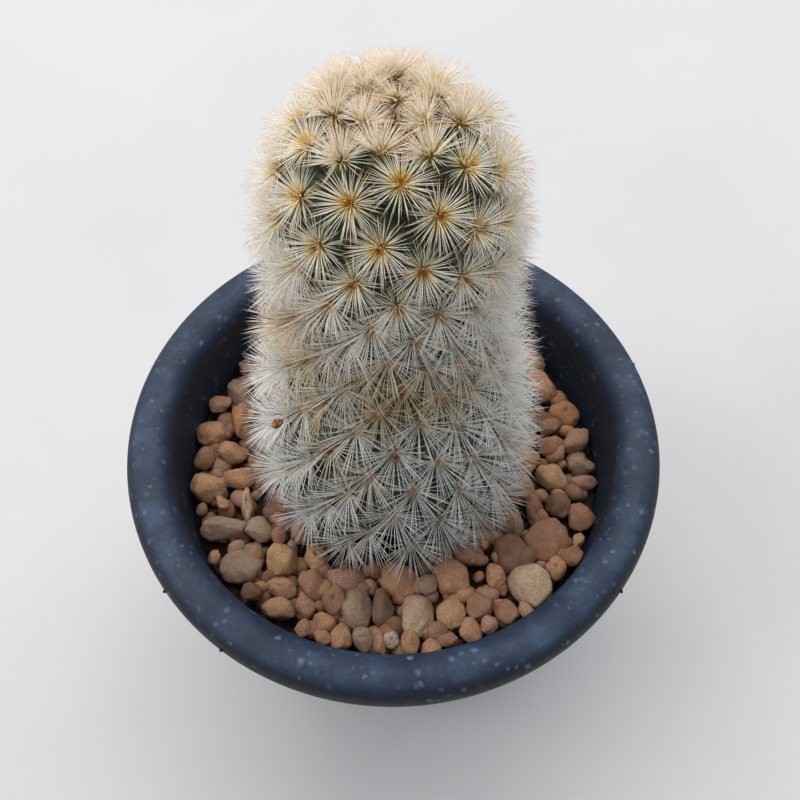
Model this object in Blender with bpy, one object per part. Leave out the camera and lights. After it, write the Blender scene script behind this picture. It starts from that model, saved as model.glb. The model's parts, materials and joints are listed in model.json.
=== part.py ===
# A potted mammillaria: a tapering, dome-topped cactus set in grit in a plastic pot
# with a thick rounded lip. Metres, +Z up, origin on the surface under the pot's centre.

import math

import bmesh
import bpy
import numpy as np
from mathutils import Euler, Matrix, Vector
from mathutils.geometry import delaunay_2d_cdt

MM = 0.001
GAP = 0.3 * MM

# Pot: a round bead for a lip, a wall that tapers to a foot ring, drain holes
POT_HEIGHT = 66 * MM
RIM_RADIUS = 45 * MM
LIP_THICKNESS = 6.8 * MM
WALL_THICKNESS = 1.8 * MM
WALL_TOP_RADIUS = 39.6 * MM
BASE_RADIUS = 28.2 * MM
FOOT_WIDTH = 4.2 * MM
FOOT_HEIGHT = 1.6 * MM
FLOOR_THICKNESS = 2.0 * MM
EDGE_EASE = 0.6 * MM
DRAIN_RADIUS = 4.5 * MM
SMALL_DRAIN_RADIUS = 2.5 * MM
SMALL_DRAIN_RING = 15 * MM
SMALL_DRAINS = 4
DRAIN_SIDES = 12
POT_SIDES = 48
MIX_SIDES = 24
LIP_ARC_STEP = math.radians(22.5)
LIP_ARC_STEPS = 11

# Fill: potting mix below, a top dressing of pebbles above
MIX_TOP = 46.7 * MM
BED_TOP = 51.6 * MM
GRIT_LEVEL = 54 * MM
PEBBLE_TOP = 56.6 * MM
STEM_HOLE_RADIUS = 20.2 * MM
STEM_CLEARANCE = 0.4 * MM
PEBBLE_LONGEST = 8.6 * MM
PEBBLE_SHORTEST = 4.7 * MM
PEBBLE_THICKEST = 5.4 * MM
PEBBLE_SHRINK = 0.55
PEBBLE_TRIES = 6000
PEBBLE_CROWDING = 0.365
PEBBLE_SEED = 11

# Cactus: the surface through the tubercle tips, a blunt dome on a column that swells to its foot
CACTUS_Y = 2.2 * MM
DOME_TOP = 133.8 * MM
DOME_BASE = 114.8 * MM
DOME_BLUNTNESS = 2.4
COLUMN_RADIUS = 14.7 * MM
SWELL_TOP = 103.6 * MM
SWELL_END = 62 * MM
FOOT_RADIUS = 20 * MM
NECK_TOP = 49 * MM
NECK_TOP_RADIUS = 15.5 * MM
NECK_RADIUS = 6.5 * MM
NECK_END = 31 * MM
NECK_SIDES = 14

# Tubercles: one every golden angle, counted downwards from one near the crown
GOLDEN_ANGLE = math.radians(137.508)
FIRST_ANGLE = math.radians(7.9)
CROWN_COUNT = 12.6
CROWN_REACH = 9 * MM
# how far down the stem's side, in millimetres, the tubercle with each count stands
GROWTH_COUNTS = (0, 13, 26, 42, 68, 89, 115, 139, 165, 190)
GROWTH_MM = (9.0, 16.1, 21.5, 27.9, 36.5, 43.4, 53.6, 64.8, 77.1, 92.4)
# the oldest rows are twisted a little further round
TWIST_COUNTS = (140, 160)
TWIST = math.radians(4.3)
TUBERCLE_HEIGHT = 4.4 * MM
CROWN_TUBERCLE_HEIGHT = 2.2 * MM
TUBERCLE_SHOULDER = 0.46
TUBERCLE_REACH = 4.2 * MM
SHOULDER_DROP = 0.3
RING_VALLEY = 0.3 * MM
AREOLE_RADIUS = 0.62 * MM
AREOLE_DROP = 0.12 * MM
AREOLE_CORE = 0.4

# Spines: a ring over the valleys, three steeper ones and a middle one
SPINE_COUNTS = (-12, 0, 60, 140)
SPINE_MM = (3.2, 4.3, 5.0, 5.8)
MIDDLE_SPINE_SHARE = 0.86
SPINE_REACH_SHARE = 0.86
SPINE_LOWEST = math.radians(33)
SPINE_STEEP = math.radians(64)
SPINE_WANDER = math.radians(7)
SPINE_SEED = 4


def clear_scene():
    for old in list(bpy.data.objects):
        bpy.data.objects.remove(old, do_unlink=True)


def linear(channel):
    share = channel / 255
    if share <= 0.04045:
        return share / 12.92
    return ((share + 0.055) / 1.055) ** 2.4


def finish(name, red, green, blue, roughness):
    material = bpy.data.materials.new(name)
    material.use_nodes = True
    shader = material.node_tree.nodes["Principled BSDF"]
    shader.inputs["Base Color"].default_value = (linear(red), linear(green), linear(blue), 1)
    shader.inputs["Roughness"].default_value = roughness
    shader.inputs["Metallic"].default_value = 0
    return material


def add_object(name, bm, material, crease_degrees):
    mesh = bpy.data.meshes.new(name)
    bm.to_mesh(mesh)
    bm.free()
    mesh.materials.append(material)
    mesh.shade_smooth()
    mesh.set_sharp_from_angle(angle=math.radians(crease_degrees))
    made = bpy.data.objects.new(name, mesh)
    bpy.context.scene.collection.objects.link(made)
    return made


def spun_rings(bm, profile, sides):
    # One ring of vertices for each (radius, height) or (radius, height, shift along Y).
    rings = []
    for radius, height, *shift in profile:
        centre = Vector((0, sum(shift), height))
        angles = [2 * math.pi * side / sides for side in range(sides)]
        spots = [centre + radius * Vector((math.cos(a), math.sin(a), 0)) for a in angles]
        rings.append([bm.verts.new(spot) for spot in spots])
    return rings


def bridge(bm, lower, upper):
    for side in range(len(lower)):
        after = (side + 1) % len(lower)
        bm.faces.new((lower[side], lower[after], upper[after], upper[side]))


def turned(profile, sides):
    # A profile that runs round in a loop, such as a pot with a hole in its floor.
    bm = bmesh.new()
    rings = spun_rings(bm, profile, sides)
    for lower, upper in zip(rings, rings[1:] + rings[:1]):
        bridge(bm, lower, upper)
    bmesh.ops.recalc_face_normals(bm, faces=bm.faces)
    return bm


def turned_with_ends(profile, sides):
    # A profile whose first and last rings are closed with flat faces.
    bm = bmesh.new()
    rings = spun_rings(bm, profile, sides)
    for lower, upper in zip(rings, rings[1:]):
        bridge(bm, lower, upper)
    bm.faces.new(rings[0])
    bm.faces.new(rings[-1])
    bmesh.ops.recalc_face_normals(bm, faces=bm.faces)
    return bm


# Pot

def outer_wall(height):
    lip_bottom = POT_HEIGHT - LIP_THICKNESS
    share = (height - EDGE_EASE) / (lip_bottom - EDGE_EASE)
    return BASE_RADIUS + (WALL_TOP_RADIUS - BASE_RADIUS) * share


def inner_wall(height):
    return outer_wall(height) - WALL_THICKNESS


def pot_profile():
    lip = LIP_THICKNESS / 2
    lip_centre = RIM_RADIUS - lip
    lip_level = POT_HEIGHT - lip
    floor_top = FOOT_HEIGHT + FLOOR_THICKNESS
    lip_points = []
    for step in range(LIP_ARC_STEPS + 1):
        angle = math.pi - step * LIP_ARC_STEP
        lip_points.append((lip_centre + lip * math.cos(angle), lip_level + lip * math.sin(angle)))
    lip_bottom = POT_HEIGHT - LIP_THICKNESS
    inside = [
        (DRAIN_RADIUS, floor_top),
        (inner_wall(floor_top) - 2 * EDGE_EASE, floor_top),
        (inner_wall(floor_top + 2 * EDGE_EASE), floor_top + 2 * EDGE_EASE),
        (inner_wall(lip_bottom - EDGE_EASE), lip_bottom - EDGE_EASE),
    ]
    outside = [
        (outer_wall(lip_bottom) + EDGE_EASE, lip_bottom),
        (outer_wall(lip_bottom - 2 * EDGE_EASE), lip_bottom - 2 * EDGE_EASE),
        (BASE_RADIUS, EDGE_EASE),
        (BASE_RADIUS - EDGE_EASE, 0),
        (BASE_RADIUS - FOOT_WIDTH, 0),
        (BASE_RADIUS - FOOT_WIDTH - FOOT_HEIGHT / 2, FOOT_HEIGHT),
        (DRAIN_RADIUS, FOOT_HEIGHT),
    ]
    return inside + lip_points + outside


def drain_cutters():
    holder = bpy.data.collections.new("drain_cutters")
    bpy.context.scene.collection.children.link(holder)
    for number in range(SMALL_DRAINS):
        angle = 2 * math.pi * (number + 0.5) / SMALL_DRAINS
        place = Vector((math.cos(angle), math.sin(angle), 0)) * SMALL_DRAIN_RING
        bm = bmesh.new()
        bmesh.ops.create_cone(
            bm,
            cap_ends=True,
            segments=DRAIN_SIDES,
            radius1=SMALL_DRAIN_RADIUS,
            radius2=SMALL_DRAIN_RADIUS,
            depth=4 * FLOOR_THICKNESS,
            matrix=Matrix.Translation(place + Vector((0, 0, FOOT_HEIGHT + FLOOR_THICKNESS / 2))),
        )
        mesh = bpy.data.meshes.new("drain_cutter")
        bm.to_mesh(mesh)
        bm.free()
        holder.objects.link(bpy.data.objects.new("drain_cutter", mesh))
    return holder


def join_collection(target, holder, operation, solver):
    # Applies one Boolean with everything in the collection, then removes what was in it.
    boolean = target.modifiers.new("joined", "BOOLEAN")
    boolean.operation = operation
    boolean.operand_type = "COLLECTION"
    boolean.collection = holder
    boolean.solver = solver
    graph = bpy.context.evaluated_depsgraph_get()
    joined = bpy.data.meshes.new_from_object(target.evaluated_get(graph))
    target.modifiers.remove(boolean)
    old = target.data
    joined.materials.clear()
    joined.materials.append(old.materials[0])
    target.data = joined
    joined.name = target.name
    bpy.data.meshes.remove(old)
    for used in list(holder.objects):
        bpy.data.objects.remove(used, do_unlink=True)
    bpy.data.collections.remove(holder)


def make_pot():
    plastic = finish("pot_plastic", 52, 64, 82, 0.55)
    pot = add_object("pot", turned(pot_profile(), POT_SIDES), plastic, 40)
    join_collection(pot, drain_cutters(), "DIFFERENCE", "EXACT")


# Potting mix

def neck_funnel_end():
    return MIX_TOP - (NECK_TOP_RADIUS - NECK_RADIUS)


def mix_profile():
    # The hole for the stem's neck, then the top, the side and the bottom.
    bottom = FOOT_HEIGHT + FLOOR_THICKNESS + GAP
    ease = 2 * EDGE_EASE
    return [
        (NECK_RADIUS + STEM_CLEARANCE, NECK_END - GAP, CACTUS_Y),
        (NECK_RADIUS + STEM_CLEARANCE, neck_funnel_end(), CACTUS_Y),
        (NECK_TOP_RADIUS + STEM_CLEARANCE, MIX_TOP, CACTUS_Y),
        (inner_wall(MIX_TOP) - GAP, MIX_TOP),
        (inner_wall(bottom + ease) - GAP, bottom + ease),
        (inner_wall(bottom) - GAP - ease, bottom),
    ]


def make_potting_mix():
    earth = finish("potting_mix", 58, 44, 34, 0.95)
    add_object("potting_mix", turned_with_ends(mix_profile(), MIX_SIDES), earth, 35)


# Grit

def bed_profile():
    bottom = MIX_TOP + GAP
    return [
        (STEM_HOLE_RADIUS, BED_TOP, CACTUS_Y),
        (inner_wall(BED_TOP) - GAP, BED_TOP),
        (inner_wall(bottom) - GAP, bottom),
        (STEM_HOLE_RADIUS, bottom, CACTUS_Y),
    ]


def pebble_places(rng):
    # Big pebbles first, then ever smaller ones in the gaps; each is (x, y, length).
    outermost = inner_wall(GRIT_LEVEL)
    placed = []
    for attempt in range(PEBBLE_TRIES):
        share = attempt / PEBBLE_TRIES
        length = PEBBLE_LONGEST + (PEBBLE_SHORTEST - PEBBLE_LONGEST) * share**PEBBLE_SHRINK
        radius = outermost * math.sqrt(rng.uniform(0.3, 1))
        angle = rng.uniform(0, 2 * math.pi)
        x = radius * math.cos(angle)
        y = radius * math.sin(angle)
        in_pot = radius < outermost - 0.45 * length
        off_stem = math.hypot(x, y - CACTUS_Y) > STEM_HOLE_RADIUS + 0.36 * length
        apart = all(math.hypot(x - a, y - b) > PEBBLE_CROWDING * (length + c) for a, b, c in placed)
        if in_pot and off_stem and apart:
            placed.append((x, y, length))
    return placed


def keep_in_bed(place):
    # Holds a point of a pebble clear of the pot's wall and of the stem.
    reach = math.hypot(place.x, place.y)
    most = inner_wall(place.z) - 2 * GAP
    if reach > most:
        place = Vector((place.x * most / reach, place.y * most / reach, place.z))
    from_stem = math.hypot(place.x, place.y - CACTUS_Y)
    least = STEM_HOLE_RADIUS - GAP
    if from_stem < least:
        away = (place.y - CACTUS_Y) * least / from_stem
        place = Vector((place.x * least / from_stem, CACTUS_Y + away, place.z))
    return place


def add_pebble(holder, rng, x, y, length):
    width = length * rng.uniform(0.7, 0.94)
    height = min(length * rng.uniform(0.6, 0.8), PEBBLE_THICKEST)
    bm = bmesh.new()
    bmesh.ops.create_icosphere(bm, subdivisions=1, radius=0.5)
    for vert in bm.verts:
        vert.co *= rng.uniform(0.94, 1.12)
        vert.co = Vector((vert.co.x * length, vert.co.y * width, vert.co.z * height))
    turn = Euler((rng.uniform(-0.25, 0.25), rng.uniform(-0.25, 0.25), rng.uniform(0, math.pi)))
    bmesh.ops.transform(bm, matrix=turn.to_matrix().to_4x4(), verts=bm.verts)
    top = max(vert.co.z for vert in bm.verts)
    level = min(PEBBLE_TOP - top, BED_TOP + rng.uniform(0, 0.25) * height)
    bmesh.ops.translate(bm, vec=(x, y, level), verts=bm.verts)
    for vert in bm.verts:
        vert.co = keep_in_bed(vert.co)
    mesh = bpy.data.meshes.new("pebble")
    bm.to_mesh(mesh)
    bm.free()
    holder.objects.link(bpy.data.objects.new("pebble", mesh))


def make_grit():
    stone = finish("pebbles", 143, 115, 92, 0.85)
    bed = add_object("grit", turned(bed_profile(), POT_SIDES), stone, 30)
    rng = np.random.default_rng(PEBBLE_SEED)
    holder = bpy.data.collections.new("pebbles")
    bpy.context.scene.collection.children.link(holder)
    for x, y, length in pebble_places(rng):
        add_pebble(holder, rng, x, y, length)
    join_collection(bed, holder, "UNION", "MANIFOLD")
    bed.data.shade_flat()


# Cactus

def stem_line():
    # Points (radius, height) from the crown to the top of the neck, close together.
    points = []
    for step in range(61):
        angle = math.pi / 2 * (1 - step / 60)
        across = max(math.cos(angle), 0) ** (2 / DOME_BLUNTNESS)
        rise = math.sin(angle) ** (2 / DOME_BLUNTNESS)
        points.append((COLUMN_RADIUS * across, DOME_BASE + (DOME_TOP - DOME_BASE) * rise))
    for step in range(41):
        share = step / 40
        swell = (FOOT_RADIUS - COLUMN_RADIUS) * share**2 * (3 - 2 * share)
        points.append((COLUMN_RADIUS + swell, SWELL_TOP + (SWELL_END - SWELL_TOP) * share))
    # below its widest the side turns in under the grit, as a quarter ellipse
    for step in range(1, 31):
        angle = math.pi / 2 * step / 30
        inset = (FOOT_RADIUS - NECK_TOP_RADIUS) * (1 - math.cos(angle))
        points.append((FOOT_RADIUS - inset, SWELL_END - (SWELL_END - NECK_TOP) * math.sin(angle)))
    return np.array(points)


class Stem:
    # The surface through the tubercle tips, by the distance down its side.

    def __init__(self):
        line = stem_line()
        pieces = np.hypot(*np.diff(line, axis=0).T)
        self.length = pieces.sum()
        self.down = np.linspace(0, self.length, 1200)
        along = np.concatenate(([0], np.cumsum(pieces)))
        self.radius = np.interp(self.down, along, line[:, 0])
        self.height = np.interp(self.down, along, line[:, 1])
        # the flat map that keeps angles: its radius grows as e to the integral of 1 / radius
        step = self.down[1]
        grown = np.cumsum(step / np.maximum(self.radius, step / 2))
        self.map_radius = np.exp(grown - grown[0])

    def point(self, down, angle):
        radius = float(np.interp(down, self.down, self.radius))
        height = float(np.interp(down, self.down, self.height))
        return Vector((radius * math.sin(angle), CACTUS_Y - radius * math.cos(angle), height))

    def normal(self, down, angle):
        small = 0.4 * MM
        above = self.point(max(down - small, 0), angle)
        below = self.point(down + small, angle)
        sideways = Vector((math.cos(angle), math.sin(angle), 0))
        return (below - above).cross(sideways).normalized()

    def on_map(self, down, angle):
        radius = float(np.interp(down, self.down, self.map_radius))
        return Vector((radius * math.cos(angle), radius * math.sin(angle)))


def distance_down(count):
    if count < 0:
        return CROWN_REACH * math.sqrt((count + CROWN_COUNT) / CROWN_COUNT)
    return float(np.interp(count, GROWTH_COUNTS, GROWTH_MM)) * MM


def angle_round(count):
    return FIRST_ANGLE + GOLDEN_ANGLE * count + TWIST * float(np.interp(count, TWIST_COUNTS, (0, 1)))


def tubercle_height(down):
    share = min(down / (2.5 * CROWN_REACH), 1)
    return CROWN_TUBERCLE_HEIGHT + (TUBERCLE_HEIGHT - CROWN_TUBERCLE_HEIGHT) * share


def tip_counts(stem):
    counts = range(-int(CROWN_COUNT), GROWTH_COUNTS[-1] + 1)
    return [count for count in counts if distance_down(count) < stem.length - 4 * MM]


def neck_ring(stem):
    return [(stem.length, 2 * math.pi * side / NECK_SIDES) for side in range(NECK_SIDES)]


def fans(faces):
    # For each corner of a flat triangulation, the triangles about it in order.
    after = {}
    for number, (a, b, c) in enumerate(faces):
        after.setdefault(a, {})[b] = (c, number)
        after.setdefault(b, {})[c] = (a, number)
        after.setdefault(c, {})[a] = (b, number)
    found = {}
    for corner, steps in after.items():
        ends = {onward for onward, _ in steps.values()}
        starts = [first for first in steps if first not in ends]
        here = starts[0] if starts else min(steps)
        ring = []
        while here in steps and len(ring) < len(steps):
            onward, number = steps[here]
            ring.append((here, number))
            here = onward
        found[corner] = ring
    return found


def add_tubercle(bm, tip, normal, neighbours, valleys, height):
    # Rings from the valleys up to the areole, with a vertex towards each neighbour.
    count = len(neighbours)
    cap = []
    shoulder = []
    for near in neighbours:
        across = near - tip
        flat = across - normal * across.dot(normal)
        towards = flat.normalized()
        reach = min(flat.length / 2, TUBERCLE_REACH)
        cap.append(bm.verts.new(tip + towards * AREOLE_RADIUS - normal * AREOLE_DROP))
        out = towards * (TUBERCLE_SHOULDER * reach + SHOULDER_DROP * AREOLE_RADIUS)
        shoulder.append(bm.verts.new(tip + out - normal * (SHOULDER_DROP * height)))
    for side in range(count):
        after = (side + 1) % count
        before = (side - 1) % count
        bm.faces.new((shoulder[side], valleys[before], valleys[side]))
        bm.faces.new((shoulder[side], valleys[side], shoulder[after]))
        bm.faces.new((cap[side], shoulder[side], shoulder[after]))
        bm.faces.new((cap[side], shoulder[after], cap[after]))
    return cap


def areole_faces(bm, tip, cap):
    # The cap's outer ring of triangles, three between them, and a middle one.
    count = len(cap)
    chosen = [0, count // 3, 2 * count // 3]
    core = [bm.verts.new(tip.lerp(cap[side].co, AREOLE_CORE)) for side in chosen]
    outer = []
    steep = []
    for number in range(3):
        start = chosen[number]
        end = chosen[(number + 1) % 3] + (count if number == 2 else 0)
        switch = start + math.ceil((end - start) / 2)
        for side in range(start, end):
            holds = core[number] if side < switch else core[(number + 1) % 3]
            outer.append(bm.faces.new((holds, cap[side % count], cap[(side + 1) % count])))
        turn = cap[switch % count]
        steep.append(bm.faces.new((core[number], turn, core[(number + 1) % 3])))
    middle = bm.faces.new(core)
    return outer, steep, middle


def clears_grit(root, tip):
    # True if a spine stays above the pebbles wherever it passes over them.
    lowest = PEBBLE_TOP + 3 * GAP
    reach = math.hypot(tip.x, tip.y - CACTUS_Y)
    start = math.hypot(root.x, root.y - CACTUS_Y)
    edge = STEM_HOLE_RADIUS - GAP
    if tip.z < lowest:
        return False
    if reach <= edge or root.z >= lowest:
        return True
    crossing = max((edge - start) / (reach - start), 0)
    return root.z + (tip.z - root.z) * crossing >= lowest


def raise_spine(bm, face, root, direction, length):
    tip = root + direction * length
    if clears_grit(root, tip):
        poked = bmesh.ops.poke(bm, faces=[face])
        poked["verts"][0].co = tip


def add_spines(bm, tip, normal, cap, valleys, longest, rng):
    outer, steep, middle = areole_faces(bm, tip, cap)
    reach = min((valley.co - tip - normal * (valley.co - tip).dot(normal)).length for valley in valleys)
    lean = max(SPINE_LOWEST, math.acos(min(SPINE_REACH_SHARE * reach / longest, 0.99)))
    for faces, rise in ((outer, lean), (steep, max(SPINE_STEEP, lean)), ([middle], math.pi / 2)):
        for face in faces:
            root = face.calc_center_median()
            away = root - tip
            away = (away - normal * away.dot(normal)).normalized()
            swing = Matrix.Rotation(rng.uniform(-SPINE_WANDER, SPINE_WANDER), 3, normal)
            tilt = min(rise + rng.uniform(0, SPINE_WANDER), math.pi / 2)
            direction = swing @ away * math.cos(tilt) + normal * math.sin(tilt)
            share = MIDDLE_SPINE_SHARE if face is middle else 1
            raise_spine(bm, face, root, direction, share * longest * rng.uniform(0.94, 1))


def add_neck(bm, ring):
    # Closes the stem below its last tubercles with a short buried neck.
    levels = (
        (NECK_RADIUS, neck_funnel_end() + GAP),
        (NECK_RADIUS, NECK_END + MM),
        (NECK_RADIUS - 1.5 * MM, NECK_END),
    )
    upper = ring
    for radius, height in levels:
        lower = []
        for side in range(NECK_SIDES):
            angle = 2 * math.pi * side / NECK_SIDES
            place = (radius * math.sin(angle), CACTUS_Y - radius * math.cos(angle), height)
            lower.append(bm.verts.new(place))
        for side in range(NECK_SIDES):
            after = (side + 1) % NECK_SIDES
            bm.faces.new((upper[side], lower[side], lower[after], upper[after]))
        upper = lower
    bm.faces.new(upper)


def make_cactus():
    flesh = finish("cactus", 214, 205, 178, 0.6)
    stem = Stem()
    counts = tip_counts(stem)
    tips = [(distance_down(count), angle_round(count)) for count in counts]
    places = tips + neck_ring(stem)
    on_map = [stem.on_map(down, angle) for down, angle in places]
    faces = delaunay_2d_cdt(on_map, [], [], 0, 1e-7)[2]
    points = [stem.point(down, angle) for down, angle in places]
    normals = [stem.normal(min(down, stem.length - MM), angle) for down, angle in places]
    bm = bmesh.new()
    ring_verts = {number: bm.verts.new(points[number]) for number in range(len(tips), len(places))}
    valleys = []
    for face in faces:
        middle = sum((points[number] for number in face), Vector()) / 3
        inward = sum((normals[number] for number in face), Vector()).normalized()
        deep = np.mean([tubercle_height(places[number][0]) for number in face])
        if any(number in ring_verts for number in face):
            deep = RING_VALLEY
        valleys.append(bm.verts.new(middle - inward * deep))
    rng = np.random.default_rng(SPINE_SEED)
    for number, fan in sorted(fans(faces).items()):
        around = [valleys[face] for _, face in fan]
        if number in ring_verts:
            own = ring_verts[number]
            for one, two in zip(around, around[1:]):
                bm.faces.new((own, one, two))
            bm.faces.new((own, ring_verts[fan[0][0]], around[0]))
            continue
        neighbours = [points[near] for near, _ in fan]
        height = tubercle_height(places[number][0])
        cap = add_tubercle(bm, points[number], normals[number], neighbours, around, height)
        longest = float(np.interp(counts[number], SPINE_COUNTS, SPINE_MM)) * MM
        add_spines(bm, points[number], normals[number], cap, around, longest, rng)
    add_neck(bm, [ring_verts[number] for number in sorted(ring_verts)])
    bmesh.ops.triangulate(bm, faces=bm.faces)
    bmesh.ops.recalc_face_normals(bm, faces=bm.faces)
    add_object("cactus", bm, flesh, 30)


clear_scene()
make_pot()
make_potting_mix()
make_grit()
make_cactus()
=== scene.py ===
# Potted mammillaria: a spiny column in pebbles, in a thick-lipped plastic pot.
import json
import math

import bmesh
import bpy
import numpy as np
from mathutils import Euler, Matrix, Vector, noise

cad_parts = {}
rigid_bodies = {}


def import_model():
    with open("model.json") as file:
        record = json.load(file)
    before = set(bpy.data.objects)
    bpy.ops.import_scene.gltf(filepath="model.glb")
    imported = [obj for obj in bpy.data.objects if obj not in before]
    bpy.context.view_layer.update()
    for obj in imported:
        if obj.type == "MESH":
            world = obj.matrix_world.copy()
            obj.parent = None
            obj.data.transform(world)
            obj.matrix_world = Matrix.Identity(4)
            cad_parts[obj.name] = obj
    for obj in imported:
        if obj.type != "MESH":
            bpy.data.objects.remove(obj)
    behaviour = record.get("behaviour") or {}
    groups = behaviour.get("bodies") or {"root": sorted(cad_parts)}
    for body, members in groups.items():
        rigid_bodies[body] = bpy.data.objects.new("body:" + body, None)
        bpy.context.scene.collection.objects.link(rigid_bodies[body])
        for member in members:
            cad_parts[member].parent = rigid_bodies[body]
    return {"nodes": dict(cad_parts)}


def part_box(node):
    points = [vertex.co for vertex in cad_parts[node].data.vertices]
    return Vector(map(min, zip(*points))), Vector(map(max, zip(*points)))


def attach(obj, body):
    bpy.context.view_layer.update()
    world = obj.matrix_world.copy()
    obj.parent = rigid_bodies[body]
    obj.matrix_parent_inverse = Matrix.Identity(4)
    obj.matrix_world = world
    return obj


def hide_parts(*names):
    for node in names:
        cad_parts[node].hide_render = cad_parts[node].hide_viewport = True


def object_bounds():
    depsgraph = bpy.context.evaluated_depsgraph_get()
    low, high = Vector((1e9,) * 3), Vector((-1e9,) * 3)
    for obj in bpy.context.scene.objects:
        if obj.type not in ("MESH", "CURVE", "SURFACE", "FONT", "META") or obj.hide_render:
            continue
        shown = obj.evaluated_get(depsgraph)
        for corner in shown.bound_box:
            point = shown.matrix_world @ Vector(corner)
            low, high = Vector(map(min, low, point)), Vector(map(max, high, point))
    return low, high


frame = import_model()
cadBox = [list(corner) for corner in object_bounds()]
mm = 0.001
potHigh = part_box("pot")[1]
gritLow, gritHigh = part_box("grit")
rimTop = potHigh.z
print("frame loaded, rim at", round(rimTop, 4))


# Mesh helpers

def link(name, mesh):
    piece = bpy.data.objects.new(name, mesh)
    bpy.context.scene.collection.objects.link(piece)
    return piece


def meshFrom(name, points, faces):
    mesh = bpy.data.meshes.new(name)
    mesh.from_pydata([tuple(p) for p in points], [], [tuple(f) for f in faces])
    mesh.update()
    mesh.shade_smooth()
    return mesh


def meshOf(name, bm):
    mesh = bpy.data.meshes.new(name)
    bm.to_mesh(mesh)
    bm.free()
    mesh.shade_smooth()
    return mesh


def remove(thing):
    bpy.data.objects.remove(thing, do_unlink=True)


def ringFaces(rings, sides):
    # Quads between each ring of points and the next
    faces = []
    for corner in range((rings - 1) * sides):
        after = corner - corner % sides + (corner + 1) % sides
        faces.append((corner, corner + sides, after + sides, after))
    return faces


def spoke(angle):
    return Vector((math.cos(angle), math.sin(angle), 0))


def applied(piece, modifier):
    # The mesh as the modifier leaves it, with the modifier taken off again
    graph = bpy.context.evaluated_depsgraph_get()
    mesh = bpy.data.meshes.new_from_object(piece.evaluated_get(graph))
    piece.modifiers.remove(modifier)
    return mesh


def storeFloat(mesh, name, values):
    attribute = mesh.attributes.new(name, "FLOAT", "POINT")
    attribute.data.foreach_set("value", np.asarray(values, np.float32))


def storeVector(mesh, name, values):
    attribute = mesh.attributes.new(name, "FLOAT_VECTOR", "POINT")
    attribute.data.foreach_set("vector", np.asarray(values, np.float32).reshape(-1))


def finish(piece, slotName, *replaced):
    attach(piece, "root")
    if replaced:
        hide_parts(*replaced)
    piece.data.calc_loop_triangles()
    print(piece.name, "done:", len(piece.data.loop_triangles), "triangles")


# Node helpers, for geometry and for materials

def add(tree, kind, feeds=None, **settings):
    node = tree.nodes.new(kind)
    for key, value in settings.items():
        setattr(node, key, value)
    for key, source in (feeds or {}).items():
        if isinstance(source, bpy.types.NodeSocket):
            tree.links.new(source, node.inputs[key])
        else:
            node.inputs[key].default_value = source
    return node


def feed(kind, feeds, **settings):
    # Adds a node to the tree that its feeds come from
    socket = next(source for source in feeds.values() if isinstance(source, bpy.types.NodeSocket))
    return add(socket.id_data, kind, feeds, **settings)


def maths(operation, first, second=0.0):
    return feed("ShaderNodeMath", {0: first, 1: second}, operation=operation).outputs[0]


def vectorMaths(operation, first, second=None):
    feeds = {0: first} if second is None else {0: first, 1: second}
    node = feed("ShaderNodeVectorMath", feeds, operation=operation)
    return node.outputs["Value" if operation in ("LENGTH", "DOT_PRODUCT") else "Vector"]


def scaled(vector, scale):
    feeds = {0: vector, "Scale": scale}
    return feed("ShaderNodeVectorMath", feeds, operation="SCALE").outputs["Vector"]


def split(vector):
    return feed("ShaderNodeSeparateXYZ", {0: vector}).outputs


def joined(x, y, z):
    return feed("ShaderNodeCombineXYZ", {0: x, 1: y, 2: z}).outputs[0]


def ranged(value, fromLow, fromHigh, toLow=0.0, toHigh=1.0):
    feeds = {"Value": value, "From Min": fromLow, "From Max": fromHigh, "To Min": toLow, "To Max": toHigh}
    return feed("ShaderNodeMapRange", feeds).outputs["Result"]


def named(tree, name, kind="FLOAT"):
    return add(tree, "GeometryNodeInputNamedAttribute", {"Name": name}, data_type=kind).outputs[0]


def namedVector(tree, name):
    return named(tree, name, "FLOAT_VECTOR")


def stored(geometry, name, value, domain):
    feeds = {"Geometry": geometry, "Name": name, "Value": value}
    return feed("GeometryNodeStoreNamedAttribute", feeds, data_type="FLOAT", domain=domain).outputs[0]


def turned(main, second):
    # The turn that points Z along the main direction and X towards the second
    feeds = {0: main, 1: second}
    return feed("FunctionNodeAxesToRotation", feeds, primary_axis="Z", secondary_axis="X").outputs[0]


def pointsOf(geometry):
    return feed("GeometryNodeMeshToPoints", {"Mesh": geometry}).outputs[0]


def setOut(points, shape, turn, scale):
    # The same shape on every point
    shown = feed("GeometryNodeObjectInfo", {"Object": shape}).outputs["Geometry"]
    feeds = {"Points": points, "Instance": shown, "Rotation": turn, "Scale": scale}
    return feed("GeometryNodeInstanceOnPoints", feeds).outputs[0]


def newTree(name, settings):
    # A geometry tree with one named input for each setting, such as a NodeSocketInt for an int
    tree = bpy.data.node_groups.new(name, "GeometryNodeTree")
    face = tree.interface
    face.new_socket("Geometry", in_out="INPUT", socket_type="NodeSocketGeometry")
    for label, value in settings.items():
        kind = "NodeSocket" + type(value).__name__.capitalize()
        face.new_socket(label, in_out="INPUT", socket_type=kind)
    face.new_socket("Geometry", in_out="OUTPUT", socket_type="NodeSocketGeometry")
    return tree, add(tree, "NodeGroupInput").outputs


def endTree(geometry, material):
    real = feed("GeometryNodeRealizeInstances", {"Geometry": geometry})
    painted = feed("GeometryNodeSetMaterial", {"Geometry": real.outputs[0], "Material": material})
    feed("NodeGroupOutput", {"Geometry": painted.outputs[0]})


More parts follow.
